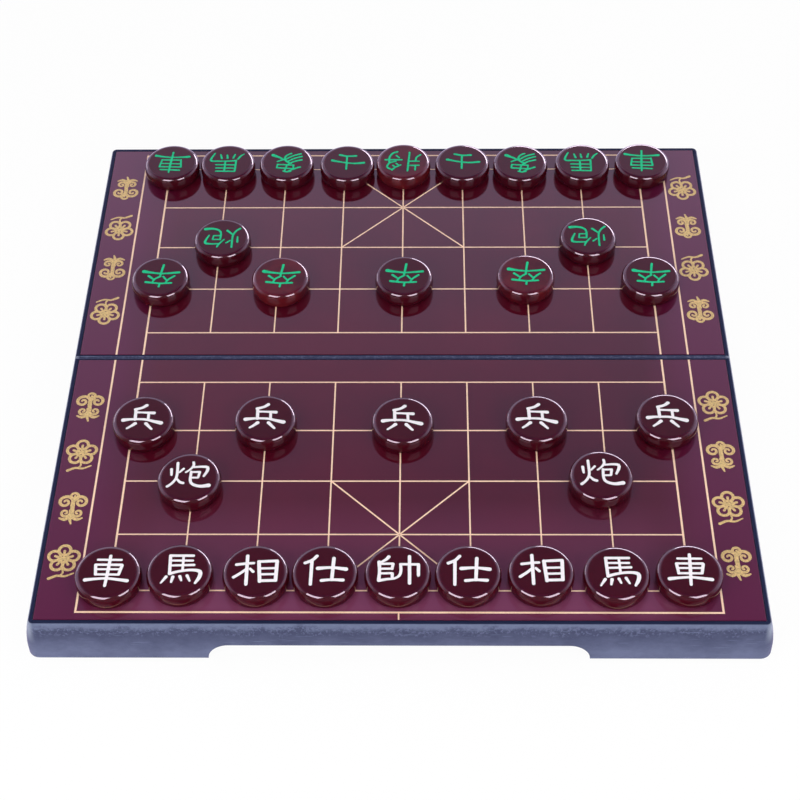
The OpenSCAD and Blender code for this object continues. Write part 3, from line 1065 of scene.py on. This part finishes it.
class XIANGQI_OT_men(bpy.types.Operator):
    """Make the glossy discs, with the caps in their bases"""

    bl_idname = "xiangqi.men"
    bl_label = "Men"

    # The few men that are redder than the rest
    WARM = ("far_general", "far_soldier_2", "far_soldier_4")
    # How far up the normals point on the rounded edge of a top
    EDGE_FROM, EDGE_TO = 0.25, 0.999
    # Share of the radius at which a ring keeps the shading of the top flat
    FLAT_TOP = 0.8

    def execute(self, context):
        men = context.scene.xiangqi.men
        looks = [
            [
                maroon_plastic(f"{name}_{part}", tone, deep, polish)
                for part, polish in (("plastic", men.polish), ("edge", men.edge_polish))
            ]
            for name, tone, deep in (
                ("maroon", men.colour, men.deep_colour),
                ("warm_maroon", men.warm_colour, men.colour),
            )
        ]
        lit = bpy.data.collections[EDGE_LIT]
        black = black_plastic(men.cap_colour)
        for node, _, _ in each_man():
            centre, radius, height = stand_of(node)
            body, edge = looks[node in self.WARM]
            bm = bmesh.new()
            turn(bm, self.disc_profile(men, radius, height, centre.z), centre, men.steps)
            bm.normal_update()
            for face in bm.faces:
                face.material_index = self.EDGE_FROM < face.normal.z < self.EDGE_TO
            disc = finish_mesh(bm, f"{node}_disc", body, f"{node}_piece", smooth=50)
            disc.data.materials.append(edge)
            lit.objects.link(disc)
            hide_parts(node)
            bm = bmesh.new()
            turn(bm, self.cap_profile(men, centre.z), centre, steps=64)
            finish_mesh(bm, f"{node}_cap", black, f"{node}_piece", smooth=50)
        return {"FINISHED"}

    def disc_profile(self, men, radius, height, floor):
        """Half of the disc's section, from the middle of its top round to its cap's recess."""
        barrel = men.barrel_radius
        middle = radius - barrel
        half = height / 2

        def corner(edge, up):
            """The centre of an edge's arc, and the angle at which it meets the barrel."""
            rise = half - edge
            reach = math.sqrt((barrel - edge) ** 2 - rise ** 2)
            return (middle + reach, half + up * rise), math.degrees(math.atan2(rise, reach))

        top, top_lean = corner(men.top_edge, 1)
        base, base_lean = corner(men.base_edge, -1)
        seat = men.cap_radius + men.joint_gap
        profile = [
            (0, height), (radius * self.FLAT_TOP, height),
            *arc(top, men.top_edge, 90, top_lean, 8),
            *arc((middle, half), barrel, top_lean, -base_lean, 10)[1:-1],
            *arc(base, men.base_edge, -base_lean, -90, 8),
            (seat, 0), (seat, men.cap_height), (0, men.cap_height),
        ]
        return [(r, floor + z) for r, z in profile]

    def cap_profile(self, men, floor):
        edge = 0.15 * MM
        low, top = 0.02 * MM, men.cap_height - 0.05 * MM
        radius = men.cap_radius
        profile = [(0, top), (radius, top), (radius, low + edge), (radius - edge, low), (0, low)]
        return [(r, floor + z) for r, z in profile]


class XIANGQI_OT_characters(bpy.types.Operator):
    """Paint each man's character on its top"""

    bl_idname = "xiangqi.characters"
    bl_label = "Characters"

    def execute(self, context):
        men = context.scene.xiangqi.men
        white, green = men.near_mark, men.far_mark
        shade = groove_shade(men.groove_shade_colour)
        looks = {
            "near": (BROAD, mark_paint("white_paint", white, shaded(white, 0.92)), "white_mark"),
            "far": (THIN, mark_paint("green_paint", green, shaded(green, 0.75)), "green_mark"),
        }
        rim = 2 * men.groove_shade_rim / MM
        for node, side, kind in each_man():
            strokes, paint, paint_slot = looks[side]
            drawn = strokes[CHARACTERS[kind][SIDES.index(side)]]
            centre, _, height = stand_of(node)
            top = centre.z + height
            place = drawn_at(centre.x, centre.y, MM) @ half_turn(side)
            # The groove is a dark stroke a little wider than the paint, laid under it: painted shade of
            # the groove walls
            for part, material, slot, wider, rise, step in (
                ("groove", shade, "piece_plastic", rim, 0.01 * MM, 0.0015 * MM),
                ("mark", paint, paint_slot, 0, 0.03 * MM, 0.004 * MM),
            ):
                bm = bmesh.new()
                for i, stroke in enumerate(drawn):
                    points = [
                        (x / 10, y / 10, w / 10 * men.stroke_width + wider)
                        for x, y, w in stroke
                    ]
                    lay_stroke(bm, points, place, top - 0.04 * MM, top + rise + step * i)
                bmesh.ops.recalc_face_normals(bm, faces=bm.faces)
                finish_mesh(bm, f"{node}_{part}", material, f"{node}_piece", smooth=30)
        return {"FINISHED"}


# The add-on

OPERATORS = (
    XIANGQI_OT_stage, XIANGQI_OT_case_shells, XIANGQI_OT_hinge_and_sheets,
    XIANGQI_OT_rubber_feet, XIANGQI_OT_board_panels, XIANGQI_OT_board_lines,
    XIANGQI_OT_margin_ornaments, XIANGQI_OT_men, XIANGQI_OT_characters,
)


class XIANGQI_PT_tools(bpy.types.Panel):
    """Lists the steps that build the set"""

    bl_idname = "XIANGQI_PT_tools"
    bl_label = "Xiangqi set"
    bl_space_type = "VIEW_3D"
    bl_region_type = "UI"
    bl_category = "Xiangqi"

    def draw(self, context):
        for operator in OPERATORS:
            self.layout.operator(operator.bl_idname)


CLASSES = (
    XiangqiStage, XiangqiCase, XiangqiBoard, XiangqiMen, XiangqiSettings, *OPERATORS,
    XIANGQI_PT_tools,
)


def register():
    for item in CLASSES:
        bpy.utils.register_class(item)
    bpy.types.Scene.xiangqi = PointerProperty(
        name="Xiangqi", description="Settings of the xiangqi set", type=XiangqiSettings,
    )


def unregister():
    del bpy.types.Scene.xiangqi
    for item in reversed(CLASSES):
        bpy.utils.unregister_class(item)


def main():
    register()
    for operator in OPERATORS:
        group, name = operator.bl_idname.split(".")
        getattr(getattr(bpy.ops, group), name)()


if __name__ == "__main__":
    main()
